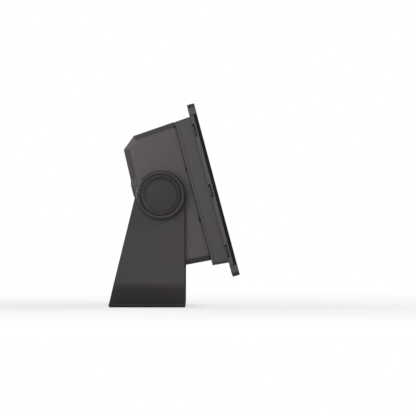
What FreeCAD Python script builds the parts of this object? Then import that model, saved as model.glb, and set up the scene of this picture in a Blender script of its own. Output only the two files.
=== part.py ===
"""Bracket-mounted smart display: tilting head in a U-shaped bail bracket with two clamp knobs.

Millimetres, +Z up, the screen faces -Y.  The origin is the centre of the bracket's mounting hole
pattern, on the underside of the base pad.  The head is drawn upright round its pivot, in
coordinates x (sideways), u (forwards, square to the glass) and v (up along the glass), then
tilted back and lifted to the pivot.
"""
import FreeCAD
import Part
import math
import os

V = FreeCAD.Vector
X_AXIS = V(1, 0, 0)
os.makedirs("parts", exist_ok=True)

# ---- stance -------------------------------------------------------------------------------
PIVOT_Y = -12.8          # pivot axis, ahead of the base centre
PIVOT_Z = 104.0          # pivot axis above the table
TILT_BACK = 15.0         # degrees the stored head leans back
SIDES = (-1, 1)

# ---- bracket ------------------------------------------------------------------------------
BASE_DEPTH = 72.0
PAD_T = 1.6
PLATE_T = 4.0
ARM_T = 4.5
ARM_X = 100.1            # inner face of an arm
ARM_R = 22.3             # round top of an arm
ARM_FRONT = 22.6         # front edge, ahead of the pivot
ARM_BACK = 22.65         # rear edge, square distance from the pivot
ARM_BACK_SLOPE = 13.8    # degrees the rear edge leans from vertical
BEND_Z = 19.8            # where the arm turns inwards to the slanted side
BASE_HALF_W = 87.6
LIP_LEN, LIP_TOP = 8.0, 2.3          # thin lip along the base's rear edge
BEND_R = 10.0
HOLE_DX, HOLE_DY, HOLE_R = 140.0, 44.0, 2.75

# ---- head: front --------------------------------------------------------------------------
FLANGE_HALF_W = 129.5
FLANGE_TOP, FLANGE_BOTTOM = 73.4, -89.7
FLANGE_U0, FLANGE_U1 = 44.5, 48.3
GLASS_U0, GLASS_U1 = 48.8, 51.4
TRIM_U0, TRIM_U1 = 44.6, 51.5
TOP_TRIM_V, BOTTOM_TRIM_V = 63.4, -79.8
TRIM_GAP = 0.4
CORNER = 3.5
SCREEN_V = -8.3          # centre of the screen
SCREEN_HALF_W, SCREEN_HALF_H = 101.0, 60.0
NOTCH_VS = (49.1, -8.3, -65.8)
NOTCH_LEN, NOTCH_DEEP, NOTCH_IN = 12.2, 2.2, 8.0
SLOT_T, SLOT_IN = 0.9, 13.0          # release slot at the foot of each notch

# ---- head: frame and rear housing ---------------------------------------------------------
FRAME_HALF_W = 118.0
FRAME_U0, FRAME_U1 = 29.5, 44.5
FRAME_WALL = 3.5
FRAME_BACK_T = 3.0
HOUSING_HALF_W = 97.0
HOUSING_U1 = 29.2
HOUSING_EDGE = 9.0       # how far the bevels reach in from the housing's side faces
HOUSING_WALL = 3.0
CAVITY_HALF_W = 91.0
BAY_U = -9.5             # recessed rear wall that carries the sockets
SOCKET_V = -22.0
SOCKETS = (("power_socket_shell", -54.0, 9.0, 7.4), ("data_socket_a_shell", -18.0, 8.0, 6.4),
           ("data_socket_b_shell", 18.0, 8.0, 6.4), ("data_socket_c_shell", 54.0, 8.0, 6.4))
SOCKET_OUT = 8.5         # how far a shell stands out of the rear wall
SOCKET_DEEP = 5.5        # depth of the mouth down to the insert
SOCKET_STEP = 0.8        # ledge at the mouth's foot, round the insert

# ---- pivot stack, along X from the housing's side face ------------------------------------
BOSS_R, BOSS_X = 17.0, 98.2
WASHER_X = 99.8
BUSH_R = 6.0
STUD_R = 4.0
RUN = 0.05               # running clearance on the radius
THRUST_X0, THRUST_X1, THRUST_R = 104.9, 106.4, 13.0
KNOB_X = 106.6
KNOB_R = 22.35
GRIP_R = 18.6            # inside of the grip ring
CAP_R = 15.5
HEAD_SEAT, CAP_SHELF = 7.1, 9.1      # ledges in the hub for the stud's head and the cap
STUD_HEAD_R = 6.0
INSERT_X0, INSERT_X1, INSERT_R = 81.0, 96.5, 7.0

# ---- screws: x and v of the frame's, x, v and outer face of the housing's -------------------
FRAME_SCREWS = [(sx * x, v) for sx in SIDES for x, v in ((108.0, 52.0), (109.0, 30.0),
                                                         (108.0, -65.5))]
HOUSING_SCREWS = [(sx * 84.0, v, face) for sx in SIDES for v, face in ((38.0, -22.7),
                                                                       (-58.0, BAY_U))]

# ---- card door, in the frame's +X side ----------------------------------------------------
DOOR_V0, DOOR_V1 = -30.0, 14.0
DOOR_U0, DOOR_U1 = 31.3, 43.2
DOOR_FLOOR_X = 115.4
HINGE_X, HINGE_U, KNUCKLE_R, DOOR_PIN_R = 116.8, 33.0, 1.1, 0.5
GAP = 0.3                # air round moving pieces

# ---- power button, in the bottom trim -----------------------------------------------------
BUTTON_X, BUTTON_V, BUTTON_HALF_L, BUTTON_R = 108.0, -84.8, 8.0, 2.25


# ---- drawing helpers ----------------------------------------------------------------------
def point(x, u, v):
    return V(x, -u, v)


def box(x0, x1, u0, u1, v0, v1):
    return Part.makeBox(x1 - x0, u1 - u0, v1 - v0, point(x0, u1, v0))


def cyl_x(r, x0, x1, u=0.0, v=0.0):
    return Part.makeCylinder(r, x1 - x0, point(x0, u, v), X_AXIS)


def cyl_u(r, u0, u1, x, v):
    return Part.makeCylinder(r, u1 - u0, point(x, u1, v), V(0, 1, 0))


def cyl_v(r, v0, v1, x, u):
    return Part.makeCylinder(r, v1 - v0, point(x, u, v0), V(0, 0, 1))


def outline(points, radii=None):
    """Closed flat face through the points, each corner rounded by its radius."""
    count = len(points)
    radii = radii or [0.0] * count
    starts, ends, mids = [], [], []
    for i, corner in enumerate(points):
        to_prev = (points[i - 1] - corner).normalize()
        to_next = (points[(i + 1) % count] - corner).normalize()
        half = math.acos(max(-1.0, min(1.0, to_prev.dot(to_next)))) / 2
        if radii[i] <= 0:
            starts.append(corner)
            ends.append(corner)
            mids.append(None)
            continue
        reach = radii[i] / math.tan(half)
        centre = corner + (to_prev + to_next).normalize() * (radii[i] / math.sin(half))
        starts.append(corner + to_prev * reach)
        ends.append(corner + to_next * reach)
        mids.append(centre + (corner - centre).normalize() * radii[i])
    edges = []
    for i in range(count):
        if mids[i] is not None:
            edges.append(Part.Arc(starts[i], mids[i], ends[i]).toShape())
        edges.append(Part.makeLine(ends[i], starts[(i + 1) % count]))
    return Part.Face(Part.Wire(edges))


def side_prism(profile, x0, x1, radii=None):
    """Prism along X from a profile of (u, v) points."""
    face = outline([point(x0, u, v) for u, v in profile], radii)
    return face.extrude(V(x1 - x0, 0, 0))


def front_prism(profile, u0, u1, radii=None):
    """Prism along u from a profile of (x, v) points."""
    face = outline([point(x, u0, v) for x, v in profile], radii)
    return face.extrude(V(0, u0 - u1, 0))


def rect(half_w, v0, v1):
    return [(-half_w, v0), (half_w, v0), (half_w, v1), (-half_w, v1)]


def inset(profile, distances):
    """Move each edge of a counter-clockwise profile inwards by its own distance."""
    lines = []
    for i, (a, d) in enumerate(zip(profile, distances)):
        b = profile[(i + 1) % len(profile)]
        length = math.hypot(b[0] - a[0], b[1] - a[1])
        dx, dy = (b[0] - a[0]) / length, (b[1] - a[1]) / length
        lines.append((a[0] - dy * d, a[1] + dx * d, dx, dy))
    corners = []
    for i, (x2, y2, dx2, dy2) in enumerate(lines):
        x1, y1, dx1, dy1 = lines[i - 1]
        cross = dx1 * dy2 - dy1 * dx2
        t = ((x2 - x1) * dy2 - (y2 - y1) * dx2) / cross
        corners.append((x1 + dx1 * t, y1 + dy1 * t))
    return corners


def ring(r_out, r_in, x0, x1):
    """Ring about the pivot axis."""
    return cyl_x(r_out, x0, x1).cut(cyl_x(r_in, x0 - 1, x1 + 1))


def mirrored(shape):
    return shape.mirror(V(0, 0, 0), X_AXIS)


def both(shape):
    return [shape, mirrored(shape)]


def fuse(shapes):
    result = shapes[0]
    for shape in shapes[1:]:
        result = result.fuse(shape)
    return result.removeSplitter()


def cut_all(shape, tools):
    for tool in tools:
        shape = shape.cut(tool)
    return shape


def edges_where(shape, test):
    return [edge for edge in shape.Edges if test(edge.BoundBox)]


def placed(shape):
    """From the head's upright pivot coordinates to the stored pose."""
    moved = shape.copy()
    moved.rotate(V(0, 0, 0), X_AXIS, -TILT_BACK)
    moved.translate(V(0, PIVOT_Y, PIVOT_Z))
    return moved


def write(name, shapes):
    solids = []
    for shape in shapes if isinstance(shapes, list) else [shapes]:
        solids += shape.Solids
    result = solids[0] if len(solids) == 1 else Part.makeCompound(solids)
    result.exportStep("parts/" + name + ".step")


def write_head(name, shapes):
    shapes = shapes if isinstance(shapes, list) else [shapes]
    write(name, [placed(shape) for shape in shapes])


# ---- bracket ------------------------------------------------------------------------------
def bracket_section():
    """Front view of the bracket: flat base, slanted sides and upright arms."""
    outer_x, top = ARM_X + ARM_T, PIVOT_Z + ARM_R + 5
    edge_z = BEND_Z - (outer_x - BASE_HALF_W)
    floor = PAD_T + PLATE_T
    shift = ARM_T * (math.sqrt(2) - 1)
    foot = BASE_HALF_W - edge_z + floor - ARM_T * math.sqrt(2)
    right = [(BASE_HALF_W, PAD_T), (BASE_HALF_W, edge_z), (outer_x, BEND_Z), (outer_x, top),
             (ARM_X, top), (ARM_X, BEND_Z + shift), (foot, floor)]
    radii = [0.6, 1.0, BEND_R, 0, 0, BEND_R - ARM_T, 6.0]
    left = [(-x, z) for x, z in reversed(right)]
    return right + left, radii + radii[::-1]


def arm_face(x):
    """Side view of an arm: upright front edge, sloping rear edge, round top."""
    lean = math.tan(math.radians(ARM_BACK_SLOPE))
    foot_y = PIVOT_Y + ARM_BACK / math.cos(math.radians(ARM_BACK_SLOPE)) + PIVOT_Z * lean
    top_z = PIVOT_Z + ARM_R
    front_y = PIVOT_Y - ARM_FRONT
    corners = [V(x, front_y, 0), V(x, foot_y, 0), V(x, foot_y - top_z * lean, top_z),
               V(x, front_y, top_z)]
    return outline(corners, [0, 0, ARM_R, ARM_R])


def make_bracket():
    section, radii = bracket_section()
    depth = BASE_DEPTH / 2
    face = outline([V(x, -depth, z) for x, z in section], radii)
    body = face.extrude(V(0, BASE_DEPTH, 0))
    half = BASE_HALF_W + 30
    side = arm_face(-half).extrude(V(2 * half, 0, 0))
    body = body.common(side).removeSplitter()
    outer_x = ARM_X + ARM_T
    rims = edges_where(body, lambda b: b.XLength < 0.01 and abs(abs(b.XMin) - outer_x) < 0.01
                       and b.ZMax > BEND_Z + 6)
    body = body.makeFillet(1.2, rims)
    lip = outline([V(x, depth, z) for x, z in section], radii).extrude(V(0, -LIP_LEN, 0))
    lip = lip.common(Part.makeBox(2 * half, LIP_LEN, LIP_TOP, V(-half, depth - LIP_LEN, 0)))
    body = fuse([body, lip])
    for side_x in SIDES:
        bore = Part.makeCylinder(BUSH_R, ARM_T + 2, V(side_x * (ARM_X - 1), PIVOT_Y, PIVOT_Z),
                                 V(side_x, 0, 0))
        body = body.cut(bore)
    return cut_all(body, base_holes())


def base_holes():
    holes = []
    for sx in SIDES:
        for sy in SIDES:
            foot = V(sx * HOLE_DX / 2, sy * HOLE_DY / 2, -1)
            holes.append(Part.makeCylinder(HOLE_R, PLATE_T + PAD_T + 2, foot))
    return holes


def make_base_pad():
    half_w, half_d = BASE_HALF_W - 1.0, BASE_DEPTH / 2 - 0.8
    corners = [V(-half_w, -half_d, 0), V(half_w, -half_d, 0), V(half_w, half_d, 0),
               V(-half_w, half_d, 0)]
    pad = outline(corners, [2.0] * 4).extrude(V(0, 0, PAD_T))
    groove = outline([c * 0.86 for c in corners], [2.0] * 4).extrude(V(0, 0, 0.3))
    inner = outline([c * 0.83 for c in corners], [2.0] * 4).extrude(V(0, 0, 0.3))
    return cut_all(pad.cut(groove.cut(inner)), base_holes())


def make_arm_bushes():
    shapes = []
    for side_x in SIDES:
        foot = V(side_x * ARM_X, PIVOT_Y, PIVOT_Z)
        bush = Part.makeCylinder(BUSH_R, ARM_T, foot, V(side_x, 0, 0))
        shapes.append(bush.cut(Part.makeCylinder(STUD_R + RUN, ARM_T, foot, V(side_x, 0, 0))))
    return shapes


# ---- head: front --------------------------------------------------------------------------
def trim_outline(v_inner, v_outer):
    """A trim strip's front view, its two outer corners bevelled."""
    sign = 1 if v_outer > v_inner else -1
    w = FLANGE_HALF_W
    pts = [(-w, v_inner), (w, v_inner), (w, v_outer - sign * CORNER), (w - CORNER, v_outer),
           (-w + CORNER, v_outer), (-w, v_outer - sign * CORNER)]
    return pts, [0, 0, 1.2, 1.2, 1.2, 1.2]


def tongue(v_inner, v_tip, grow):
    """Tongue of the flange inside a trim strip, in lengths that clear the ports."""
    low, high = min(v_inner, v_tip), max(v_inner, v_tip)
    spans = ((-92.0, -66.0), (-54.0, -8.0), (8.0, 54.0), (66.0, 92.0))
    return [box(a - grow, b + grow, 45.95 - grow, 47.05 + grow, low - grow, high + grow)
            for a, b in spans]


def make_bezel_flange():
    top, bottom = TOP_TRIM_V - TRIM_GAP, BOTTOM_TRIM_V + TRIM_GAP
    plate = front_prism(rect(FLANGE_HALF_W, bottom, top), FLANGE_U0, FLANGE_U1)
    window = front_prism(rect(SCREEN_HALF_W + 0.5, SCREEN_V - SCREEN_HALF_H - 0.5,
                              SCREEN_V + SCREEN_HALF_H + 0.5), 40, 50, [3.0] * 4)
    plate = plate.cut(window)
    for v in NOTCH_VS:
        for s in SIDES:
            x0, x1 = sorted((s * (FLANGE_HALF_W - NOTCH_IN), s * (FLANGE_HALF_W + 1)))
            plate = plate.cut(box(x0, x1, FLANGE_U0 - 1, FLANGE_U0 + NOTCH_DEEP,
                                  v - NOTCH_LEN / 2, v + NOTCH_LEN / 2))
            plate = cut_all(plate, release_slot(s, v))
    return fuse([plate] + tongue(top, 70.2, 0) + tongue(bottom, -86.6, 0))


def release_slot(side, v):
    """Deep narrow slot with round ends, cut inwards from a notch's floor."""
    x0, x1 = sorted((side * (FLANGE_HALF_W - SLOT_IN), side * (FLANGE_HALF_W + 1)))
    u1, half = FLANGE_U0 + NOTCH_DEEP, NOTCH_LEN / 2 - SLOT_T
    ends = [cyl_x(SLOT_T, x0, x1, u1 - SLOT_T, v + k * half) for k in (-1, 1)]
    return [box(x0, x1, u1 - SLOT_T, u1, v - half, v + half)] + ends


def make_top_trim():
    pts, radii = trim_outline(TOP_TRIM_V, FLANGE_TOP)
    trim = front_prism(pts, TRIM_U0, TRIM_U1, radii)
    trim = trim.makeFillet(0.8, edges_where(trim, lambda b: b.YLength < 0.01 and b.ZMin > 66))
    trim = cut_all(trim, tongue(TOP_TRIM_V - 1, 70.2, 0.1))
    for s in SIDES:
        trim = trim.cut(cyl_u(2.2, 45.2, 48.6, s * 60.0, 68.4))
        trim = trim.cut(cyl_u(0.6, 48.0, TRIM_U1 + 1, s * 60.0, 68.4))
    return trim


def slot_prism(half_l, r, u0, u1):
    ends = [cyl_u(r, u0, u1, BUTTON_X + s * (half_l - r), BUTTON_V) for s in SIDES]
    bar = box(BUTTON_X - half_l + r, BUTTON_X + half_l - r, u0, u1, BUTTON_V - r, BUTTON_V + r)
    return fuse([bar] + ends)


def make_bottom_trim():
    pts, radii = trim_outline(BOTTOM_TRIM_V, FLANGE_BOTTOM)
    trim = front_prism(pts, TRIM_U0, TRIM_U1, radii)
    trim = trim.makeFillet(0.8, edges_where(trim, lambda b: b.YLength < 0.01 and b.ZMax < -82))
    trim = cut_all(trim, tongue(BOTTOM_TRIM_V + 1, -86.6, 0.1))
    trim = trim.cut(slot_prism(BUTTON_HALF_L + GAP, BUTTON_R + GAP, 46.0, TRIM_U1 + 1))
    return trim.cut(cyl_u(2.0, TRIM_U0 + 1.4, TRIM_U1 + 1, 0.0, BUTTON_V))


def make_power_button():
    cap = slot_prism(BUTTON_HALF_L, BUTTON_R, 48.2, TRIM_U1)
    cap = cap.makeFillet(0.4, edges_where(cap, lambda b: b.YLength < 0.01 and b.YMax < -TRIM_U1
                                          + 0.01))
    skirt = cyl_u(1.2, 47.6, 48.2, BUTTON_X, BUTTON_V)
    bar = box(BUTTON_X - 3.0, BUTTON_X + 3.0, TRIM_U1 - 0.3, TRIM_U1 + 1, BUTTON_V - 0.3,
              BUTTON_V + 0.3)
    return fuse([cap, skirt]).cut(bar)


def make_cover_glass():
    glass = front_prism(rect(FLANGE_HALF_W - 0.1, BOTTOM_TRIM_V + TRIM_GAP + 0.2,
                             TOP_TRIM_V - TRIM_GAP - 0.2), GLASS_U0, GLASS_U1)
    rim = edges_where(glass, lambda b: b.YLength < 0.01 and b.YMax < -GLASS_U1 + 0.01)
    return glass.makeChamfer(0.5, rim)


def make_display_gasket():
    sheet = front_prism(rect(FLANGE_HALF_W - 0.4, -78.8, 62.4), FLANGE_U1, GLASS_U0)
    hole = front_prism(rect(SCREEN_HALF_W + 0.5, SCREEN_V - SCREEN_HALF_H - 0.5,
                            SCREEN_V + SCREEN_HALF_H + 0.5), 48, 49)
    return sheet.cut(hole)


def make_lcd_panel():
    return front_prism(rect(SCREEN_HALF_W, SCREEN_V - SCREEN_HALF_H, SCREEN_V + SCREEN_HALF_H),
                       46.5, GLASS_U0)


def make_backlight():
    tray = front_prism(rect(SCREEN_HALF_W - 0.5, SCREEN_V - SCREEN_HALF_H + 0.5,
                            SCREEN_V + SCREEN_HALF_H - 0.5), 40.5, 46.5, [2.0] * 4)
    driver = box(-40, 40, 39.9, 40.6, SCREEN_V - 55, SCREEN_V - 47)
    return tray.cut(driver)


def make_chassis_plate():
    plate = front_prism(rect(FRAME_HALF_W - FRAME_WALL - 0.1, -71.9, 58.4), 39.0, 40.5,
                        [2.0] * 4)
    for x in (-60.0, -20.0, 20.0, 60.0):
        plate = plate.cut(front_prism([(x - 12, 16), (x + 12, 16), (x + 12, 38), (x - 12, 38)],
                                      38, 41, [4.0] * 4))
    return plate


# ---- head: frame and rear housing ---------------------------------------------------------
def make_mid_frame():
    w = FRAME_HALF_W
    top0, top1, low0, low1 = 61.35, 62.5, -75.05, -76.3
    profile = [(FRAME_U0, low0), (FRAME_U1, low1), (FRAME_U1, top1), (FRAME_U0, top0)]
    body = side_prism(profile, -w, w)
    long_edges = lambda b: b.XLength < 0.01 and b.YLength > 10
    body = body.makeFillet(3.0, edges_where(body, lambda b: long_edges(b) and b.ZMax < 0))
    body = body.makeFillet(1.4, edges_where(body, lambda b: long_edges(b) and b.ZMin > 0))
    back = edges_where(body, lambda b: b.YLength < 0.01 and b.YMin > -FRAME_U0 - 0.01)
    body = body.makeChamfer(0.5, back)
    line = box(-w - 1, w + 1, 32.0, 32.4, -90, 90).cut(box(-w + 0.3, w - 0.3, 32, 33, -74.9, 61.3))
    body = body.cut(line)
    inner_w = w - FRAME_WALL
    cavity = front_prism(rect(inner_w, -72.0, 58.5), FRAME_U0 + FRAME_BACK_T, 50, [3.0] * 4)
    cavity = cut_all(cavity, [cyl_u(4.0, FRAME_U0 + 1, 39.0, x, v) for x, v in FRAME_SCREWS])
    body = body.cut(cavity)
    block = box(108.0, w - 1.0, FRAME_U0 + 1, 39.0, DOOR_V0 - 4, DOOR_V1 + 4)
    body = fuse([body, block])
    hole = front_prism(rect(CAVITY_HALF_W - 1, -66.0, 58.0), 20, FRAME_U0 + FRAME_BACK_T,
                       [4.0] * 4)
    body = body.cut(hole)
    return cut_all(body, frame_screw_seats() + door_cuts() + make_seam_pips())


def door_cuts():
    """Recess for the card door, the card slot in its floor and the two hinge pin holes."""
    w = FRAME_HALF_W
    recess = box(DOOR_FLOOR_X, w + 1, DOOR_U0, DOOR_U1, DOOR_V0, DOOR_V1)
    slot = box(100.0, w, 35.2, 37.8, -21.0, 5.0)
    return [recess, slot] + door_pin_shapes()


def door_pin_shapes():
    return [cyl_v(DOOR_PIN_R, DOOR_V0 - 2.5, DOOR_V0 + 3.0, HINGE_X, HINGE_U),
            cyl_v(DOOR_PIN_R, DOOR_V1 - 3.0, DOOR_V1 + 2.5, HINGE_X, HINGE_U)]


def make_card_door():
    v0, v1 = DOOR_V0 + GAP, DOOR_V1 - GAP
    plate = box(HINGE_X - 0.6, FRAME_HALF_W - 0.1, HINGE_U, DOOR_U1 - GAP, v0, v1)
    knuckle = cyl_v(KNUCKLE_R, v0, v1, HINGE_X, HINGE_U)
    lip = box(FRAME_HALF_W - 0.2, FRAME_HALF_W + 0.6, DOOR_U1 - 1.9, DOOR_U1 - 1.1, v0 + 14,
              v1 - 14)
    body = fuse([plate, knuckle, lip])
    for a, b in ((v0 - 1, DOOR_V0 + 3.3), (DOOR_V1 - 3.3, v1 + 1)):
        body = body.cut(cyl_v(DOOR_PIN_R + 0.06, a, b, HINGE_X, HINGE_U))
    return body


def frame_screw_seats():
    """Sunk seats and shank holes in the frame's rear rim."""
    seats = []
    for x, v in FRAME_SCREWS:
        seats.append(cyl_u(3.0, FRAME_U0 - 0.5, FRAME_U0 + 1.6, x, v))
        seats.append(cyl_u(1.5, FRAME_U0, 38.0, x, v))
    return seats


def hex_recess(across, u0, u1, x, v):
    r = across / math.sqrt(3)
    pts = [(x + r * math.cos(math.radians(60 * k)), v + r * math.sin(math.radians(60 * k)))
           for k in range(6)]
    return front_prism(pts, u0, u1)


def socket_screw(head_r, head_u, seat_u, tip_u, across, x, v):
    """Cap screw: round head with a hexagon socket, plain shank."""
    head = cyl_u(head_r, head_u, seat_u, x, v)
    head = head.cut(hex_recess(across, head_u - 1, seat_u - 0.6, x, v))
    return head.fuse(cyl_u(1.5, seat_u, tip_u, x, v)).removeSplitter()


def make_frame_screws():
    return [socket_screw(3.0, FRAME_U0 + 0.2, FRAME_U0 + 1.6, 38.0, 2.0, x, v)
            for x, v in FRAME_SCREWS]


def housing_profile():
    """Side view of the rear housing, counter-clockwise as (u, v), and its bevel widths."""
    profile = [(HOUSING_U1, -70.2), (HOUSING_U1, 62.1), (-10.1, 59.3), (-22.3, 49.4),
               (-23.3, 20.3), (-24.5, 15.6), (-24.5, 4.6), (BAY_U, 2.6), (BAY_U, -67.3)]
    bevels = [0.0, 4.8, 4.4, 5.5, 5.0, 5.0, 2.5, 5.0, 5.0]
    return profile, bevels


def loft(profile_a, xa, profile_b, xb):
    wires = []
    for profile, x in ((profile_a, xa), (profile_b, xb)):
        pts = [point(x, u, v) for u, v in profile]
        wires.append(Part.makePolygon(pts + [pts[0]]))
    return Part.makeLoft(wires, True, True)


def make_rear_housing():
    profile, bevels = housing_profile()
    core_w = HOUSING_HALF_W - HOUSING_EDGE
    core = side_prism(profile, -core_w, core_w)
    small = inset(profile, bevels)
    cheek = loft(profile, core_w, small, HOUSING_HALF_W)
    body = fuse([core] + both(cheek))
    walls = [0.0, HOUSING_WALL, HOUSING_WALL + 2.5] + [HOUSING_WALL] * 6
    hollow = inset(profile, walls)
    hollow[0] = (HOUSING_U1 + 5, hollow[0][1] - 0.4)
    hollow[1] = (HOUSING_U1 + 5, hollow[1][1] + 0.4)
    cavity = side_prism(hollow, -CAVITY_HALF_W, CAVITY_HALF_W)
    pivots = both(cyl_x(12.0, INSERT_X0 - 2, CAVITY_HALF_W + 1))
    bosses = [cyl_u(4.5, -30, HOUSING_U1, x, v) for x, v, face in HOUSING_SCREWS]
    cavity = cut_all(cavity, pivots + bosses)
    body = fuse([body.cut(cavity)] + both(ring(BOSS_R, INSERT_R, HOUSING_HALF_W - 1, BOSS_X)))
    body = cut_all(body, both(cyl_x(INSERT_R, INSERT_X0, HOUSING_HALF_W + 3)))
    for name, x, r_out, r_in in SOCKETS:
        body = body.cut(cyl_u(r_out, BAY_U - 1, BAY_U + HOUSING_WALL + 2, x, SOCKET_V))
    body = body.cut(cyl_u(5.0, BAY_U - 1, BAY_U + HOUSING_WALL + 1, 0.0, -50.0))
    return cut_all(body, housing_screw_holes() + speaker_slots() + rear_grooves()
                   + make_seam_pips())


def rear_grooves():
    """Shallow cooling grooves across the raised upper back."""
    cuts = []
    for k in range(9):
        v = 24.0 + 2.6 * k
        cuts.append(box(-60, 60, -30, -21.7 - 0.035 * (48 - v), v, v + 1.1))
    return cuts


def housing_screw_holes():
    holes = []
    for x, v, face in HOUSING_SCREWS:
        holes.append(cyl_u(3.4, face - 1, face + 4.0, x, v))
        holes.append(cyl_u(1.5, face + 3.5, HOUSING_U1 + 1, x, v))
    return holes


def make_housing_screws():
    return [socket_screw(2.8, face + 1.8, face + 4.0, HOUSING_U1, 2.5, x, v)
            for x, v, face in HOUSING_SCREWS]


def make_frame_seal():
    sheet = front_prism(rect(HOUSING_HALF_W - 0.5, -69.4, 61.0), HOUSING_U1, FRAME_U0)
    hole = front_prism(rect(CAVITY_HALF_W - 0.5, -66.2, 58.2), 28, 30)
    holes = [cyl_u(1.5, 28, 30, x, v) for x, v, face in HOUSING_SCREWS]
    return cut_all(sheet.cut(hole), holes)


def make_seam_pips():
    """Small clip ends that show in the seam between housing and frame."""
    pips = []
    for v in (57.3, 18.0, 15.5, -29.8, -32.3, -68.3):
        pips.append(cyl_x(0.85, HOUSING_HALF_W - 0.5, HOUSING_HALF_W + 0.4, 28.9, v))
    return pips + [mirrored(pip) for pip in pips]


# ---- head: insides ------------------------------------------------------------------------
def make_main_board():
    board = front_prism(rect(76.0, -50.0, 44.0), 30.0, 31.6, [2.0] * 4)
    return cut_all(board, [cyl_u(1.6, 29, 33, x, v) for x, v in STANDOFFS])


STANDOFFS = ((-70.0, 38.0), (70.0, 38.0), (-70.0, -44.0), (70.0, -44.0))


def make_standoffs():
    return [fuse([cyl_u(3.0, 31.6, 39.0, x, v), cyl_u(1.6, 30.0, 31.6, x, v),
                  cyl_u(2.8, 28.6, 30.0, x, v)]) for x, v in STANDOFFS]


def make_cpu_shield():
    shell = box(-26, 14, 27.0, 30.0, -14, 26)
    return shell.makeFillet(0.8, edges_where(shell, lambda b: b.YLength > 2.5))


def make_heat_sink():
    base = box(-24, 12, 24.6, 27.0, -12, 24)
    fins = [box(-24 + 4.0 * k, -22.6 + 4.0 * k, 12.0, 24.7, -12, 24) for k in range(9)]
    return fuse([base] + fins)


def make_coin_cell():
    holder = box(30, 54, 28.8, 30.0, -2, 22)
    return fuse([holder, cyl_u(10.0, 26.0, 28.9, 42.0, 10.0)])


def make_display_ribbon():
    parts = [box(-58, -38, 31.6, 31.9, 36, 42), box(-58, -38, 31.6, 39.0, 41.7, 42),
             box(-58, -38, 38.7, 39.0, 36, 42)]
    return fuse(parts)


def make_card_reader():
    body = box(86.0, 108.0, 33.6, 39.0, -24.0, 8.0)
    return body.cut(box(90.0, 109.0, 35.2, 37.8, -21.0, 5.0))


def make_connector_board():
    board = front_prism(rect(74.0, -44.0, -2.0), -3.6, -2.0, [2.0] * 4)
    return board


def socket_shell(x, r_out, r_in):
    out = BAY_U - SOCKET_OUT
    tube = cyl_u(r_out, out, -3.6, x, SOCKET_V)
    collar = hex_recess(2 * (r_out + 2.2), BAY_U - 2.6, BAY_U - 0.6, x, SOCKET_V)
    body = fuse([tube, collar]).cut(cyl_u(r_in, out - 1, out + SOCKET_DEEP, x, SOCKET_V))
    body = body.cut(cyl_u(r_in - SOCKET_STEP, out, 0, x, SOCKET_V))
    for k in range(3):
        groove = cyl_u(r_out + 1, out + 0.9 + 1.5 * k, out + 1.5 + 1.5 * k, x, SOCKET_V)
        groove = groove.cut(cyl_u(r_out - 0.35, out, out + 6, x, SOCKET_V))
        body = body.cut(groove)
    return body


def make_socket_inserts():
    shapes = []
    for name, x, r_out, r_in in SOCKETS:
        face = BAY_U - SOCKET_OUT + SOCKET_DEEP
        plug = cyl_u(r_in - SOCKET_STEP, face, -3.6, x, SOCKET_V)
        for k in range(5):
            angle = math.radians(72 * k + 18)
            plug = plug.cut(cyl_u(0.6, face - 1, face + 3, x + 3.6 * math.cos(angle),
                                  SOCKET_V + 3.6 * math.sin(angle)))
        shapes.append(plug)
    return shapes


def make_socket_gaskets():
    return [cyl_u(r_out + 2.0, BAY_U - 0.6, BAY_U, x, SOCKET_V).cut(
        cyl_u(r_out, BAY_U - 1, BAY_U + 1, x, SOCKET_V)) for name, x, r_out, r_in in SOCKETS]


def make_vent_plug():
    cap = cyl_u(5.8, BAY_U - 1.6, BAY_U, 0.0, -50.0)
    stem = cyl_u(5.0, BAY_U, BAY_U + 4.0, 0.0, -50.0)
    cap = cap.makeFillet(0.6, edges_where(cap, lambda b: b.YMin > -BAY_U + 1.5))
    body = fuse([cap, stem])
    for k in range(4):
        slot = box(-4.0, 4.0, BAY_U - 2, BAY_U - 1.0, -50.3, -49.7)
        slot.rotate(point(0, 0, -50.0), V(0, 1, 0), 45 * k)
        body = body.cut(slot)
    return body


# ---- head: sound --------------------------------------------------------------------------
SPEAKER_X, SPEAKER_U, SPEAKER_R = 50.0, 11.5, 14.0
FLOOR_SLOPE = math.degrees(math.atan2(69.8 - 67.0, HOUSING_U1 - BAY_U))
FLOOR_V = -65.5          # housing floor, on the inside under the speakers


def tilted(shape):
    """Lay a shape drawn on a level floor at FLOOR_V onto the sloping housing floor."""
    shape.rotate(point(0, SPEAKER_U, FLOOR_V), X_AXIS, FLOOR_SLOPE)
    return shape


def speaker_slots():
    slots = []
    for sx in SIDES:
        for k in range(-3, 4):
            x = sx * SPEAKER_X + 3.6 * k
            half = math.sqrt(13.0 ** 2 - (3.6 * k) ** 2)
            slots.append(box(x - 0.9, x + 0.9, SPEAKER_U - half, SPEAKER_U + half, -75, -62))
    return slots


def make_speaker_mesh():
    return [tilted(cyl_v(SPEAKER_R, FLOOR_V, FLOOR_V + 0.5, sx * SPEAKER_X, SPEAKER_U))
            for sx in SIDES]


def make_speaker_frames():
    shapes = []
    for sx in SIDES:
        x = sx * SPEAKER_X
        wall = cyl_v(SPEAKER_R, FLOOR_V + 0.5, FLOOR_V + 3.0, x, SPEAKER_U)
        basket = Part.makeCone(SPEAKER_R - 0.5, 8.5, 5.0, point(x, SPEAKER_U, FLOOR_V + 3.0),
                               V(0, 0, 1))
        hollow = Part.makeCone(SPEAKER_R - 2.0, 7.0, 7.6, point(x, SPEAKER_U, FLOOR_V + 0.4),
                               V(0, 0, 1))
        shapes.append(tilted(fuse([wall, basket]).cut(hollow)))
    return shapes


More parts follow.
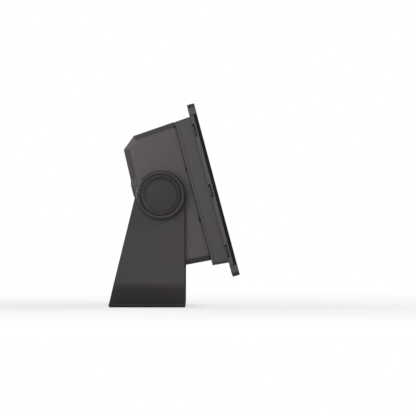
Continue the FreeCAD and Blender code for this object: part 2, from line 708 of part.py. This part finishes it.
def make_speaker_cones():
    shapes = []
    for sx in SIDES:
        x = sx * SPEAKER_X
        foot = point(x, SPEAKER_U, FLOOR_V + 1.2)
        outer = Part.makeCone(11.2, 6.6, 6.0, foot, V(0, 0, 1))
        inner = Part.makeCone(10.6, 6.0, 6.0, foot - V(0, 0, 0.4), V(0, 0, 1))
        dome = Part.makeSphere(4.6, point(x, SPEAKER_U, FLOOR_V + 4.2))
        cap = dome.common(cyl_v(4.6, FLOOR_V, FLOOR_V + 4.4, x, SPEAKER_U))
        cap = cap.common(box(x - 9, x + 9, SPEAKER_U - 9, SPEAKER_U + 9, FLOOR_V + 1.2, 0))
        neck = cyl_v(6.6, FLOOR_V + 4.2, FLOOR_V + 7.2, x, SPEAKER_U)
        shapes.append(tilted(fuse([outer.cut(inner), neck, cap])))
    return shapes


def make_speaker_magnets():
    return [tilted(cyl_v(8.5, FLOOR_V + 8.0, FLOOR_V + 14.0, sx * SPEAKER_X, SPEAKER_U))
            for sx in SIDES]


def make_mic_capsules():
    return [cyl_u(2.2, 45.2, 48.6, s * 60.0, 68.4) for s in SIDES]


def make_light_sensor():
    return cyl_u(2.0, TRIM_U0 + 1.4, TRIM_U1 - 0.1, 0.0, BUTTON_V)


def make_button_switch():
    return slot_prism(5.0, BUTTON_R, 46.0, 46.6)


def make_wifi_antenna():
    return box(-CAVITY_HALF_W, -CAVITY_HALF_W + 0.8, 0, 22, 30, 42)


# ---- pivot hardware -----------------------------------------------------------------------
def make_pivot_inserts():
    insert = cyl_x(INSERT_R, INSERT_X0, INSERT_X1).cut(
        cyl_x(STUD_R + RUN, INSERT_X0 - 1, INSERT_X1 + 1))
    return both(insert)


def make_friction_washers():
    washer = ring(BOSS_R - 0.5, BUSH_R + 1, BOSS_X, WASHER_X)
    for k in range(24):
        tooth = box(WASHER_X - 0.25, WASHER_X + 1, -0.35, 0.35, BUSH_R + 2.5, BOSS_R)
        tooth.rotate(V(0, 0, 0), X_AXIS, 15 * k)
        washer = washer.cut(tooth)
    return both(washer)


def revolve(profile):
    """Turn a profile of (x, r) points about the pivot axis."""
    pts = [V(x, 0, r) for x, r in profile]
    return Part.Face(Part.makePolygon(pts + [pts[0]])).revolve(V(0, 0, 0), X_AXIS, 360)


def arc_points(cx, cr, r, a0, a1, steps):
    return [(cx + r * math.cos(math.radians(a0 + (a1 - a0) * k / steps)),
             cr + r * math.sin(math.radians(a0 + (a1 - a0) * k / steps)))
            for k in range(steps + 1)]


def make_knob_core():
    """Hub with the groove inside the grip ring and a rounded rim round the cap."""
    x = KNOB_X
    seat, shelf, floor = x + HEAD_SEAT, x + CAP_SHELF, x + 5.2
    rim = [(x + 11.0, CAP_R), (x + 11.5, 16.15), (x + 11.8, 16.7), (x + 11.85, 17.0),
           (x + 11.75, 17.35), (x + 11.45, 17.6)]
    body = revolve([(x, STUD_R), (x, GRIP_R), (x + 8.6, GRIP_R), (x + 8.6, 17.7)] + rim[::-1]
                   + [(shelf, CAP_R), (shelf, STUD_HEAD_R), (seat, STUD_HEAD_R),
                      (seat, STUD_R)])
    pocket = ring(16.0, 9.0, x - 1, floor)
    ribs = []
    for k in range(6):
        rib = box(x, floor, -1.0, 1.0, 8.5, 16.5)
        rib.rotate(V(0, 0, 0), X_AXIS, 60 * k)
        ribs.append(rib)
    return body.cut(cut_all(pocket, ribs))


def make_knob_grip():
    """Soft ring: round roll in front, fluted rim behind it."""
    x = KNOB_X
    roll_r = (KNOB_R - GRIP_R) / 2
    roll = arc_points(x + 8.8, GRIP_R + roll_r, roll_r, 90, -90, 14)
    body = revolve([(x, GRIP_R), (x, 21.4), (x + 0.9, KNOB_R)] + roll)
    for k in range(30):
        flute = cyl_x(1.3, x - 1, x + 6.4, 0.0, KNOB_R + 0.85)
        flute.rotate(V(0, 0, 0), X_AXIS, 12 * k)
        body = body.cut(flute)
    return body


def make_knob_cap():
    """Slightly domed disc whose edge sweeps up to the core's rim."""
    x = KNOB_X
    return revolve([(x + CAP_SHELF, 0), (x + CAP_SHELF, CAP_R), (x + 11.0, CAP_R),
                    (x + 10.68, 15.0), (x + 10.47, 14.4), (x + 10.37, 13.7), (x + 10.36, 12.9),
                    (x + 10.5, 11.0), (x + 10.68, 8.5), (x + 10.84, 5.5), (x + 10.93, 2.5),
                    (x + 10.95, 0)])


def make_knob_stud():
    seat = KNOB_X + HEAD_SEAT
    shaft = cyl_x(STUD_R, INSERT_X0 + 2.5, seat)
    head = cyl_x(STUD_HEAD_R, seat, KNOB_X + CAP_SHELF)
    tip = edges_where(shaft, lambda b: b.XMax < INSERT_X0 + 3)
    return fuse([shaft.makeChamfer(0.8, tip), head])


def make_thrust_washer():
    return ring(THRUST_R, STUD_R + RUN, THRUST_X0, THRUST_X1)


# ---- write every node ---------------------------------------------------------------------
def write_bracket():
    write("bracket", make_bracket())
    write("base_pad", make_base_pad())
    write("arm_bushes", make_arm_bushes())


def write_front():
    write_head("bezel_flange", make_bezel_flange())
    write_head("top_trim", make_top_trim())
    write_head("bottom_trim", make_bottom_trim())
    write_head("cover_glass", make_cover_glass())
    write_head("display_gasket", make_display_gasket())
    write_head("lcd_panel", make_lcd_panel())
    write_head("backlight_unit", make_backlight())
    write_head("chassis_plate", make_chassis_plate())
    write_head("power_button", make_power_button())
    write_head("button_switch", make_button_switch())
    write_head("light_sensor", make_light_sensor())
    write_head("mic_capsules", make_mic_capsules())


def write_shell():
    write_head("mid_frame", make_mid_frame())
    write_head("rear_housing", make_rear_housing())
    write_head("frame_seal", make_frame_seal())
    write_head("seam_pips", make_seam_pips())
    write_head("frame_screws", make_frame_screws())
    write_head("housing_screws", make_housing_screws())
    write_head("card_door", make_card_door())
    write_head("door_pins", door_pin_shapes())
    write_head("vent_plug", make_vent_plug())
    for name, x, r_out, r_in in SOCKETS:
        write_head(name, socket_shell(x, r_out, r_in))
    write_head("socket_inserts", make_socket_inserts())
    write_head("socket_gaskets", make_socket_gaskets())


def write_insides():
    write_head("main_board", make_main_board())
    write_head("board_standoffs", make_standoffs())
    write_head("cpu_shield", make_cpu_shield())
    write_head("heat_sink", make_heat_sink())
    write_head("coin_cell", make_coin_cell())
    write_head("display_ribbon", make_display_ribbon())
    write_head("card_reader", make_card_reader())
    write_head("connector_board", make_connector_board())
    write_head("speaker_mesh", make_speaker_mesh())
    write_head("speaker_frames", make_speaker_frames())
    write_head("speaker_cones", make_speaker_cones())
    write_head("speaker_magnets", make_speaker_magnets())
    write_head("wifi_antenna", make_wifi_antenna())


def write_pivots():
    write_head("pivot_inserts", make_pivot_inserts())
    write_head("friction_washers", make_friction_washers())
    pieces = (("thrust_washer", make_thrust_washer()), ("knob_core", make_knob_core()),
              ("knob_grip", make_knob_grip()), ("knob_cap", make_knob_cap()),
              ("knob_stud", make_knob_stud()))
    for name, shape in pieces:
        write_head(name + "_right", shape)
        write_head(name + "_left", mirrored(shape))


write_bracket()
write_front()
write_shell()
write_insides()
write_pivots()
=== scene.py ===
"""Studio scene for the bracket-mounted smart display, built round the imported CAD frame."""
import math

import bpy
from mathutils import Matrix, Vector


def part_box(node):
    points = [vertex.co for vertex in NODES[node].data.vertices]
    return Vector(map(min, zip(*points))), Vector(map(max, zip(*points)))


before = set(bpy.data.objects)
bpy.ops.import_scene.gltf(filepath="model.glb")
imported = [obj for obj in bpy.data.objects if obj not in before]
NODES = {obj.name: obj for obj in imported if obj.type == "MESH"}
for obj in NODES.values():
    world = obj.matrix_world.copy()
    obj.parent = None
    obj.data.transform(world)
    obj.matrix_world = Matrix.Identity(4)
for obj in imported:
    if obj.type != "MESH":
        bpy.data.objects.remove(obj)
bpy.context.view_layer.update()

# ---- places, in metres, worked out from the frame -------------------------------------------
PIVOT_Y = (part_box("arm_bushes")[0].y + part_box("arm_bushes")[1].y) / 2
PIVOT_Z = (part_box("arm_bushes")[0].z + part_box("arm_bushes")[1].z) / 2

# ---- view ----------------------------------------------------------------------------------
FRAME_WIDTH = 0.3827         # width of the picture at the object
AIM_AHEAD = 0.0436           # the picture's centre, ahead of the pivot and above the floor
AIM_Z = 0.0920
FOCUS_X = -0.115             # plane square to the view where the picture is that wide
LENS, SENSOR = 500.0, 36.0   # millimetres: a long lens, nearly without perspective


# ---- node helpers --------------------------------------------------------------------------
class Graph:
    """Short-hand for building one material's node tree."""

    def __init__(self, name):
        self.material = bpy.data.materials.new(name)
        self.material.use_nodes = True
        self.nodes = self.material.node_tree.nodes
        self.links = self.material.node_tree.links
        self.shader = self.nodes["Principled BSDF"]
        self.coord = self.add("ShaderNodeTexCoord").outputs["Object"]

    def add(self, kind, **values):
        node = self.nodes.new(kind)
        for key, value in values.items():
            setattr(node, key, value)
        return node

    def feed(self, socket, value):
        if isinstance(value, bpy.types.NodeSocket):
            self.links.new(value, socket)
        else:
            socket.default_value = value

    def math(self, operation, a, b=0.0, clamp=False):
        node = self.add("ShaderNodeMath", operation=operation, use_clamp=clamp)
        self.feed(node.inputs[0], a)
        self.feed(node.inputs[1], b)
        return node.outputs[0]

    def stretch(self, scale):
        node = self.add("ShaderNodeMapping")
        self.feed(node.inputs["Vector"], self.coord)
        node.inputs["Scale"].default_value = scale
        return node.outputs[0]

    def noise(self, scale, detail=3.0, rough=0.55, vector=None, distortion=0.0):
        node = self.add("ShaderNodeTexNoise")
        self.feed(node.inputs["Vector"], vector or self.coord)
        node.inputs["Scale"].default_value = scale
        node.inputs["Detail"].default_value = detail
        node.inputs["Roughness"].default_value = rough
        node.inputs["Distortion"].default_value = distortion
        return node.outputs["Fac"]

    def grains(self, scale):
        node = self.add("ShaderNodeTexVoronoi")
        self.feed(node.inputs["Vector"], self.coord)
        node.inputs["Scale"].default_value = scale
        return node.outputs["Distance"]

    def band(self, value, low, high, out_low=0.0, out_high=1.0):
        node = self.add("ShaderNodeMapRange")
        self.feed(node.inputs["Value"], value)
        node.inputs["From Min"].default_value = low
        node.inputs["From Max"].default_value = high
        node.inputs["To Min"].default_value = out_low
        node.inputs["To Max"].default_value = out_high
        return node.outputs["Result"]

    def mix(self, factor, a, b):
        node = self.add("ShaderNodeMix", data_type="RGBA")
        self.feed(node.inputs[0], factor)
        self.feed(node.inputs[6], a)
        self.feed(node.inputs[7], b)
        return node.outputs[2]

    def lift(self, base, start, end, low, high):
        """Painted light and shade: scale a colour by a factor that runs from low to high between
        two values of Y.
        """
        parts = self.add("ShaderNodeSeparateXYZ")
        self.links.new(self.coord, parts.inputs[0])
        node = self.add("ShaderNodeMix", data_type="RGBA", blend_type="MULTIPLY")
        node.inputs[0].default_value = 1.0
        self.feed(node.inputs[6], base)
        self.feed(node.inputs[7], self.band(parts.outputs["Y"], start, end, low, high))
        return node.outputs[2]

    def facing(self, direction, low, high):
        """Mask of the faces that lean towards a direction, in the piece's own axes."""
        dot = self.add("ShaderNodeVectorMath", operation="DOT_PRODUCT")
        self.links.new(self.add("ShaderNodeTexCoord").outputs["Normal"], dot.inputs[0])
        dot.inputs[1].default_value = direction
        return self.band(dot.outputs["Value"], low, high)

    def side_lean(self):
        """How squarely a face looks sideways: the size of its normal's X part."""
        parts = self.add("ShaderNodeSeparateXYZ")
        self.links.new(self.add("ShaderNodeNewGeometry").outputs["Normal"], parts.inputs[0])
        return self.math("ABSOLUTE", parts.outputs["X"])

    def facets(self, low, high, soft=0.03):
        """Mask of the faces whose sideways lean is between two values."""
        lean = self.side_lean()
        return self.math("MULTIPLY", self.band(lean, low - soft, low + soft),
                         self.band(lean, high - soft, high + soft, 1.0, 0.0))

    def soft_normal(self, radius):
        bevel = self.add("ShaderNodeBevel", samples=6)
        bevel.inputs["Radius"].default_value = radius
        return bevel.outputs[0]

    def edges(self, rounded, low=0.02, high=0.35):
        """Mask that is 1 where the rounded normal leaves the flat one, along edges."""
        plain = self.add("ShaderNodeNewGeometry")
        dot = self.add("ShaderNodeVectorMath", operation="DOT_PRODUCT")
        self.links.new(rounded, dot.inputs[0])
        self.links.new(plain.outputs["Normal"], dot.inputs[1])
        return self.band(self.math("SUBTRACT", 1.0, dot.outputs["Value"]), low, high)

    def bump(self, height, strength, distance, under=None):
        node = self.add("ShaderNodeBump")
        node.inputs["Strength"].default_value = strength
        node.inputs["Distance"].default_value = distance
        self.feed(node.inputs["Height"], height)
        if under is not None:
            self.links.new(under, node.inputs["Normal"])
        return node.outputs["Normal"]

    def finish(self, color, roughness, normal=None, metallic=0.0, specular=0.5):
        self.feed(self.shader.inputs["Base Color"], color)
        self.feed(self.shader.inputs["Roughness"], roughness)
        self.shader.inputs["Metallic"].default_value = metallic
        self.shader.inputs["Specular IOR Level"].default_value = specular
        if normal is not None:
            self.links.new(normal, self.shader.inputs["Normal"])
        return self.material


def shade(color, factor):
    return (color[0] * factor, color[1] * factor, color[2] * factor, 1.0)


# ---- materials -----------------------------------------------------------------------------
STEEP_CHAMFER = (0.3, 0.64)           # range of |X| in the normals of the steep side chamfers
GENTLE_CHAMFER = (0.7, 0.84)          # the same, for the gentler ones on the trims' ends
UPPER_CORNER = (0.0, 0.81, 0.587)     # square to the housing's slanted upper rear face
CHAMFER_SHADING_STRENGTH = 0.8                   # how much of the chamfers' painted shading replaces the plain colour
EDGE_ROUNDING = 0.0006                # radius that shading gives to the edges of large pieces


def moulded(name, color, roughness=0.5, grain=1500.0, depth=0.00003, edge_wear_and_highlight=0.3, specular=0.35,
            steep_shade=1.0, gentle_shade=1.0, corner_highlight=1.0):
    """Spark-textured moulded plastic: fine grain, slow colour drift, scuffs and worn edges, which
    on the knob cap are raised to stand also as a painted highlight.

    The steep side chamfers, the gentle ones and the upper rear one get painted light and shade,
    given as factors; the colour is also scaled from back to front as painted shading."""
    g = Graph(name)
    drift = g.band(g.noise(22.0, 4.0), 0.3, 0.7)
    base = g.mix(drift, shade(color, 0.93), shade(color, 1.07))
    scuffs = g.band(g.noise(9.0, 5.0, 0.7, g.stretch((14.0, 3.0, 1.0))), 0.62, 0.8)
    base = g.mix(g.math("MULTIPLY", scuffs, 0.25), base, shade(color, 1.5))
    rounded = g.soft_normal(EDGE_ROUNDING)
    rim = g.math("MULTIPLY", g.edges(rounded), g.band(g.noise(160.0, 3.0), 0.35, 0.65))
    base = g.mix(g.math("MULTIPLY", rim, edge_wear_and_highlight), base, shade(color, 2.0))
    # painted light and shade: the steep chamfers, the gentle ones and the upper rear ones get
    # scaled copies of the colour
    steep = g.facets(*STEEP_CHAMFER)
    gentle = g.facets(*GENTLE_CHAMFER)
    upper = g.math("MULTIPLY", steep, g.facing(UPPER_CORNER, 0.8, 0.86))
    for mask, factor in ((steep, steep_shade), (gentle, gentle_shade), (upper, corner_highlight)):
        base = g.mix(g.math("MULTIPLY", mask, CHAMFER_SHADING_STRENGTH), base, shade(color, factor))
    # painted shading: colour lighter towards the back, darker towards the front
    base = g.lift(base, 0.02, -0.06, 1.06, 0.94)
    fine = g.noise(grain, 2.0, 0.6)
    rough = g.band(g.math("ADD", fine, g.math("MULTIPLY", drift, 0.4)), 0.3, 1.1,
                   roughness - 0.07, roughness + 0.08)
    rough = g.math("SUBTRACT", rough, g.math("MULTIPLY", scuffs, 0.12))
    return g.finish(base, rough, g.bump(fine, 0.5, depth, rounded), specular=specular)


def powder_coat(name, color):
    """Fine textured powder coat: closely packed beads over metal, a little dust in the lows."""
    g = Graph(name)
    beads = g.grains(1300.0)
    drift = g.band(g.noise(16.0, 4.0), 0.3, 0.7)
    base = g.mix(drift, shade(color, 0.95), shade(color, 1.06))
    dust = g.band(g.noise(60.0, 6.0, 0.7), 0.58, 0.8)
    base = g.mix(g.math("MULTIPLY", dust, 0.14), base, shade(color, 1.7))
    rounded = g.soft_normal(EDGE_ROUNDING)
    rim = g.math("MULTIPLY", g.edges(rounded), g.band(g.noise(140.0, 3.0), 0.42, 0.7))
    base = g.mix(g.math("MULTIPLY", rim, 0.3), base, shade(color, 2.2))
    # painted light: colour darker towards the back, lighter towards the front
    base = g.lift(base, 0.025, -0.03, 0.96, 1.17)
    rough = g.band(g.math("ADD", beads, drift), 0.0, 1.6, 0.44, 0.62)
    normal = g.bump(beads, 0.3, 0.00004, g.bump(g.noise(420.0, 3.0), 0.25, 0.00006, rounded))
    return g.finish(base, rough, normal, specular=0.35)


def soft_rubber(name, color, roughness=0.78):
    g = Graph(name)
    bloom = g.band(g.noise(45.0, 5.0, 0.65), 0.45, 0.75)
    base = g.mix(g.math("MULTIPLY", bloom, 0.35), shade(color, 0.95), shade(color, 1.6))
    rounded = g.soft_normal(0.0004)
    rim = g.math("MULTIPLY", g.edges(rounded), 0.25)
    base = g.mix(rim, base, shade(color, 1.8))
    fine = g.noise(2100.0, 2.0)
    return g.finish(base, g.band(fine, 0.3, 0.7, roughness - 0.06, roughness + 0.07),
                    g.bump(fine, 0.4, 0.00003, rounded), specular=0.3)


def screen_glass(name, lit_low, lit_high):
    """Black-backed cover glass: the switched-off picture area shows faintly, with smudges.

    The picture area is given by two corners as (x, z). The glass's ground side edges are matt."""
    g = Graph(name)
    split = g.add("ShaderNodeSeparateXYZ")
    g.links.new(g.coord, split.inputs[0])
    blur = 0.0002
    inside = 1.0
    for axis, low, high in (("X", lit_low[0], lit_high[0]), ("Z", lit_low[1], lit_high[1])):
        above = g.band(split.outputs[axis], low - blur, low + blur)
        below = g.band(split.outputs[axis], high - blur, high + blur, 1.0, 0.0)
        inside = g.math("MULTIPLY", inside, g.math("MULTIPLY", above, below))
    printed, picture = (0.0075, 0.0072, 0.0078, 1.0), (0.013, 0.0128, 0.0155, 1.0)
    ground_edge = (0.018, 0.0158, 0.0186, 1.0)
    smudge = g.band(g.noise(26.0, 6.0, 0.65, g.stretch((1.0, 1.0, 1.6)), 0.6), 0.5, 0.78)
    base = g.mix(inside, printed, picture)
    base = g.mix(g.math("MULTIPLY", smudge, 0.08), base, (0.08, 0.08, 0.085, 1.0))
    ground = g.band(g.side_lean(), 0.3, 0.6)
    base = g.mix(ground, base, ground_edge)
    rough = g.band(smudge, 0.0, 1.0, 0.06, 0.2)
    rough = g.math("MAXIMUM", rough, g.math("MULTIPLY", ground, 0.8))
    return g.finish(base, rough, specular=0.3)


def brushed_metal(name, color, roughness=0.34, along=(1.0, 60.0, 60.0)):
    g = Graph(name)
    lines = g.noise(30.0, 5.0, 0.7, g.stretch(along))
    base = g.mix(g.band(lines, 0.3, 0.7), shade(color, 0.85), shade(color, 1.08))
    stain = g.band(g.noise(70.0, 4.0), 0.6, 0.8)
    base = g.mix(g.math("MULTIPLY", stain, 0.2), base, shade(color, 0.55))
    rough = g.band(lines, 0.3, 0.7, roughness - 0.08, roughness + 0.1)
    return g.finish(base, rough, g.bump(lines, 0.2, 0.00003), metallic=1.0)


def blackened_steel(name):
    g = Graph(name)
    fine = g.noise(900.0, 3.0)
    color = (0.028, 0.027, 0.029)
    rim = g.math("MULTIPLY", g.edges(g.soft_normal(0.0003)), 0.6)
    base = g.mix(g.band(fine, 0.35, 0.65), shade(color, 0.8), shade(color, 1.3))
    base = g.mix(rim, base, (0.2, 0.2, 0.2, 1.0))
    return g.finish(base, g.band(fine, 0.3, 0.7, 0.32, 0.5), g.bump(fine, 0.3, 0.00002),
                    specular=0.6)


def circuit_board(name):
    """Solder mask with tracks and pads."""
    g = Graph(name)
    tracks = g.add("ShaderNodeTexBrick", offset=0.5)
    g.feed(tracks.inputs["Vector"], g.coord)
    tracks.inputs["Scale"].default_value = 160.0
    tracks.inputs["Mortar Size"].default_value = 0.03
    lines = tracks.outputs["Fac"]
    base = g.mix(lines, (0.006, 0.05, 0.02, 1.0), (0.02, 0.11, 0.045, 1.0))
    pads = g.band(g.grains(420.0), 0.0, 0.12, 1.0, 0.0)
    base = g.mix(g.math("MULTIPLY", pads, 0.8), base, (0.6, 0.45, 0.16, 1.0))
    return g.finish(base, 0.4, g.bump(lines, 0.3, 0.00003), specular=0.5)


def woven_mesh(name):
    """Punched speaker mesh: rows of dark holes in black metal."""
    g = Graph(name)
    holes = g.band(g.grains(950.0), 0.22, 0.34)
    base = g.mix(holes, (0.002, 0.002, 0.002, 1.0), (0.06, 0.06, 0.062, 1.0))
    return g.finish(base, 0.45, g.bump(holes, 0.8, 0.0002), metallic=0.3)


def paint(name, material):
    """Give a CAD node its Blender material in every slot."""
    mesh = NODES[name].data
    if not mesh.materials:
        mesh.materials.append(material)
    for index in range(len(mesh.materials)):
        mesh.materials[index] = material


# ---- finishes ------------------------------------------------------------------------------
HOUSING_GREY = (0.193, 0.1745, 0.195, 1.0)
FRAME_GREY = (0.162, 0.146, 0.164, 1.0)
ARM_GREY = (0.100, 0.089, 0.1025, 1.0)
TRIM_GREY = (0.152, 0.137, 0.153, 1.0)
KNOB_GREY = (0.059, 0.0525, 0.060, 1.0)
GRIP_GREY = (0.098, 0.087, 0.0995, 1.0)
HUB_GREY = (0.082, 0.0725, 0.083, 1.0)


def dress():
    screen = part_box("lcd_panel")
    coat = powder_coat("bracket_coat", ARM_GREY)
    # painted shade on the steep chamfers, painted highlight on the slanted upper rear chamfers
    housing = moulded("housing_moulding", HOUSING_GREY, steep_shade=0.8, corner_highlight=1.38)
    mid = moulded("frame_moulding", FRAME_GREY, edge_wear_and_highlight=0.1)
    bezel = moulded("bezel_moulding", TRIM_GREY, 0.5)
    # painted shade on the trims' steep chamfers and gentle end chamfers
    trim = moulded("trim_moulding", TRIM_GREY, 0.48, 1900.0, steep_shade=0.55, gentle_shade=0.42)
    glass = screen_glass("cover_glass_black", (screen[0].x, screen[0].z),
                         (screen[1].x, screen[1].z))
    rubber = soft_rubber("black_rubber", (0.014, 0.0135, 0.014))
    pad = soft_rubber("grey_rubber", (0.036, 0.033, 0.037), 0.6)
    grip = soft_rubber("grip_rubber", GRIP_GREY, 0.42)
    # the cap's lighter rim is partly worn edges, partly a painted highlight
    cap = moulded("cap_moulding", KNOB_GREY, 0.5, 1700.0, edge_wear_and_highlight=0.7)
    hub = moulded("hub_moulding", HUB_GREY, 0.42, 1700.0)
    dark = blackened_steel("blackened_steel")
    steel = brushed_metal("plain_steel", (0.55, 0.55, 0.57))
    alloy = brushed_metal("mill_aluminium", (0.72, 0.72, 0.74), 0.4)
    brass = brushed_metal("turned_brass", (0.66, 0.46, 0.18), 0.3)
    nylon = moulded("black_nylon", (0.03, 0.029, 0.031), 0.5)
    board = circuit_board("circuit_board")
    mesh = woven_mesh("speaker_mesh")
    cone = soft_rubber("coated_paper", (0.02, 0.02, 0.021), 0.7)
    finishes = {
        coat: ["bracket"],
        pad: ["base_pad"],
        rubber: ["seam_pips", "display_gasket", "frame_seal", "socket_gaskets"],
        housing: ["rear_housing"],
        mid: ["mid_frame", "card_door"],
        bezel: ["bezel_flange"],
        trim: ["top_trim", "bottom_trim", "power_button"],
        glass: ["cover_glass", "light_sensor", "lcd_panel"],
        grip: ["knob_grip_left", "knob_grip_right"],
        cap: ["knob_cap_left", "knob_cap_right"],
        hub: ["knob_core_left", "knob_core_right"],
        dark: ["frame_screws", "housing_screws", "mic_capsules", "button_switch",
               "speaker_frames"],
        steel: ["door_pins", "cpu_shield", "coin_cell", "card_reader", "speaker_magnets",
                "thrust_washer_left", "thrust_washer_right", "knob_stud_left",
                "knob_stud_right"],
        alloy: ["backlight_unit", "chassis_plate", "heat_sink"],
        brass: ["board_standoffs", "display_ribbon", "pivot_inserts"],
        nylon: ["arm_bushes", "friction_washers", "vent_plug", "power_socket_shell",
                "data_socket_a_shell", "data_socket_b_shell", "data_socket_c_shell",
                "socket_inserts"],
        board: ["main_board", "connector_board", "wifi_antenna"],
        mesh: ["speaker_mesh"],
        cone: ["speaker_cones"],
    }
    for material, names in finishes.items():
        for name in names:
            paint(name, material)


# ---- studio --------------------------------------------------------------------------------
FLOOR_RADIUS = 1.3
FADE_FROM, FADE_TO = 0.22, 1.0       # the floor turns to white light between these radii
AMBIENT = 0.14
LIGHTS = [                           # name, direction from the pivot, distance, size, power
    ("side_box", (-1.0, 0.14, 0.0), 2.3, 1.5, 21.5),
    ("far_side_box", (1.0, 0.5, 0.05), 2.3, 1.0, 21.0),
    ("front_box", (-0.42, -0.75, 0.5), 1.9, 0.7, 6.5),
    ("far_front_box", (0.45, -0.85, 0.36), 2.0, 1.3, 10.0),
    ("far_back_box", (0.3, 0.88, 0.35), 2.0, 1.0, 6.0),
]


def make_floor():
    bpy.ops.mesh.primitive_circle_add(vertices=96, radius=FLOOR_RADIUS, fill_type="NGON")
    floor = bpy.context.object
    floor.name = "studio_floor"
    g = Graph("pale_floor")
    speck = g.noise(40.0, 4.0)
    base = g.mix(g.band(speck, 0.3, 0.7), (0.48, 0.48, 0.48, 1.0), (0.52, 0.52, 0.52, 1.0))
    away = g.add("ShaderNodeVectorMath", operation="LENGTH")
    g.links.new(g.coord, away.inputs[0])
    fade = g.band(away.outputs["Value"], FADE_FROM, FADE_TO, 0.66, 1.0)
    glow = g.math("MULTIPLY", fade, g.add("ShaderNodeLightPath").outputs["Is Camera Ray"])
    g.feed(g.shader.inputs["Emission Color"], (1.0, 1.0, 1.0, 1.0))
    g.feed(g.shader.inputs["Emission Strength"], glow)
    base = g.mix(g.band(away.outputs["Value"], FADE_FROM, FADE_TO), base, (0.0, 0.0, 0.0, 1.0))
    floor.data.materials.append(g.finish(base, 0.9, g.bump(speck, 0.05, 0.0002), specular=0.1))


def area_light(name, direction, distance, size, power):
    """Soft round light aimed at the pivot from a direction, at a distance in metres."""
    data = bpy.data.lights.new(name, "AREA")
    data.shape, data.size, data.energy = "DISK", size, power
    light = bpy.data.objects.new(name, data)
    bpy.context.collection.objects.link(light)
    towards = Vector(direction).normalized()
    light.location = Vector((0.0, PIVOT_Y, PIVOT_Z)) + towards * distance
    light.rotation_euler = towards.to_track_quat("Z", "Y").to_euler()
    return light


def make_light():
    """White surroundings for the camera, a dim even fill for the object, and soft boxes."""
    world = bpy.data.worlds.new("studio")
    bpy.context.scene.world = world
    world.use_nodes = True
    tree = world.node_tree
    path = tree.nodes.new("ShaderNodeLightPath")
    level = tree.nodes.new("ShaderNodeMapRange")
    level.inputs["To Min"].default_value = AMBIENT
    level.inputs["To Max"].default_value = 1.0
    tree.links.new(path.outputs["Is Camera Ray"], level.inputs["Value"])
    background = tree.nodes["Background"]
    background.inputs["Color"].default_value = (1.0, 1.0, 1.0, 1.0)
    tree.links.new(level.outputs["Result"], background.inputs["Strength"])
    for light in LIGHTS:
        area_light(*light)
    bpy.context.scene.view_settings.view_transform = "Standard"


def make_camera():
    data = bpy.data.cameras.new("camera")
    data.lens, data.sensor_width = LENS, SENSOR
    data.clip_start, data.clip_end = 0.05, 60.0
    camera = bpy.data.objects.new("camera", data)
    bpy.context.collection.objects.link(camera)
    distance = FRAME_WIDTH * LENS / SENSOR
    camera.location = (FOCUS_X - distance, PIVOT_Y - AIM_AHEAD, AIM_Z)
    camera.rotation_euler = (math.radians(90.0), 0.0, math.radians(-90.0))
    bpy.context.scene.camera = camera


dress()
make_floor()
make_light()
make_camera()
